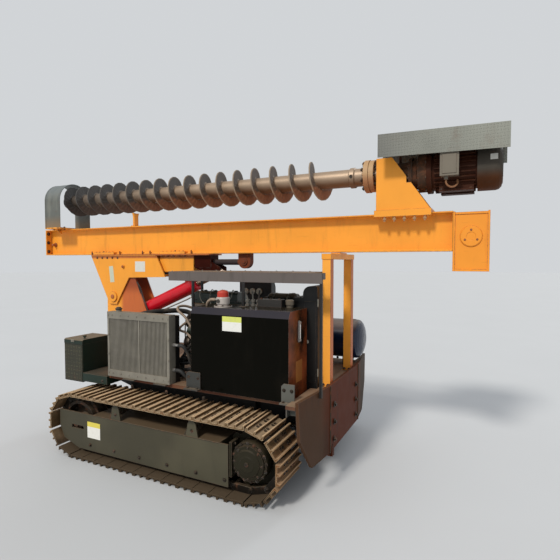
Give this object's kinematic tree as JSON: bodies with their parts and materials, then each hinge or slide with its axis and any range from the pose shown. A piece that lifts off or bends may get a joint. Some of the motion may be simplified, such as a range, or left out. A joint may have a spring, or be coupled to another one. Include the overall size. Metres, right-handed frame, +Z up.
{
  "type": "pile driver rig",
  "caption": "Crawler pile driver rig: a tilting I-beam mast carries a motor-driven auger on a sliding carriage above a tracked chassis.",
  "frame": {"origin": "middle of the machine's box, on the ground under the tracks", "axes": "+X to the machine's rear, where the mast's head rests; +Y to its far side; +Z up"},
  "size_m": [4.926, 1.9, 2.71],
  "materials": {
    "shoe_steel": "worn, dry earth on it",
    "olive_paint": "satin, dusty",
    "dark_steel": "oily and dusty",
    "brown_plate": "worn, earth-stained",
    "orange_paint": "satin enamel",
    "black_paint": "gloss enamel",
    "white_paint": "satin",
    "grey_steel": "dull sheet",
    "aluminium": "dusty fins",
    "green_paint": "satin enamel",
    "engine_iron": "painted casting",
    "black_plastic": "matte",
    "blue_paint": "satin enamel",
    "bright_steel": "ground rod, slightly rusty",
    "dark_iron": "rusty brown casting",
    "chequer_steel": "dark chequer plate",
    "auger_steel": "worn, rust-tinted",
    "red_paint": "gloss enamel"
  },
  "bodies": {
    "chassis": {"track_near": "shoe_steel", "track_far": "shoe_steel", "track_frame_near": "olive_paint", "track_frame_far": "olive_paint", "idlers": "dark_steel", "drive_hubs": "dark_steel", "track_rollers": "dark_steel", "carbody": "dark_steel", "deck": "brown_plate", "front_tower": "orange_paint", "rear_panel": "brown_plate", "mast_rest_posts": "orange_paint", "mast_rest_beam": "orange_paint", "oil_tank": "black_paint", "tank_fittings": "white_paint", "tank_brackets": "grey_steel", "radiator": "aluminium", "cooler_fan": "black_plastic", "toolbox": "green_paint", "engine": "engine_iron", "air_filter": "black_plastic", "control_cabinet": "black_paint", "roof": "grey_steel", "roof_posts": "dark_steel", "fuel_tank": "blue_paint", "valve_bank": "black_paint"},
    "toolbox_lid": {"toolbox_lid": "green_paint"},
    "slide_frame": {"slide_frame": "orange_paint", "frame_clamps": "orange_paint", "slide_barrel": "dark_steel"},
    "mast": {"mast_beam": "orange_paint", "mast_head": "orange_paint", "auger_guide": "grey_steel", "auger_rest": "orange_paint", "slide_rod": "bright_steel"},
    "carriage": {"carriage": "orange_paint", "gearbox": "dark_iron", "motor": "dark_iron", "terminal_box": "grey_steel", "head_canopy": "chequer_steel"},
    "auger": {"auger_stem": "auger_steel", "auger_flight": "auger_steel"},
    "lift_barrel": {"lift_barrel": "red_paint"},
    "lift_rod": {"lift_rod": "bright_steel"}
  },
  "joints": [
    {"name": "mast_raise", "type": "hinge", "parent": "chassis", "child": "slide_frame", "pos_m": [-1.324, 0, 1.375], "axis": [0, -1, 0], "range_deg": [0, 90]},
    {"name": "mast_slide", "type": "slide", "parent": "slide_frame", "child": "mast", "axis": [-1, 0, 0], "range_m": [0, 0.18]},
    {"name": "carriage_slide", "type": "slide", "parent": "mast", "child": "carriage", "axis": [-1, 0, 0], "range_m": [0, 2.5]},
    {"name": "auger_spin", "type": "hinge", "parent": "carriage", "child": "auger", "pos_m": [0, 0, 2.45], "axis": [-1, 0, 0], "continuous": true},
    {"name": "lift_swing", "type": "hinge", "parent": "chassis", "child": "lift_barrel", "pos_m": [-1.216, 0, 1.14], "axis": [0, -1, 0], "range_deg": [0, 81.4]},
    {"name": "lift_extend", "type": "slide", "parent": "lift_barrel", "child": "lift_rod", "axis": [0.9216, 0, 0.3881], "range_m": [0, 0.289]},
    {"name": "lid_open", "type": "hinge", "parent": "chassis", "child": "toolbox_lid", "pos_m": [-1.265, 0, 0.995], "axis": [0, -1, 0], "range_deg": [0, 100]}
  ],
  "couplings": [
    {"joint": "lift_swing", "follows": "mast_raise", "ratio": 0.89878},
    {"joint": "lift_extend", "follows": "mast_raise", "m_per_rad": 0.18255}
  ]
}
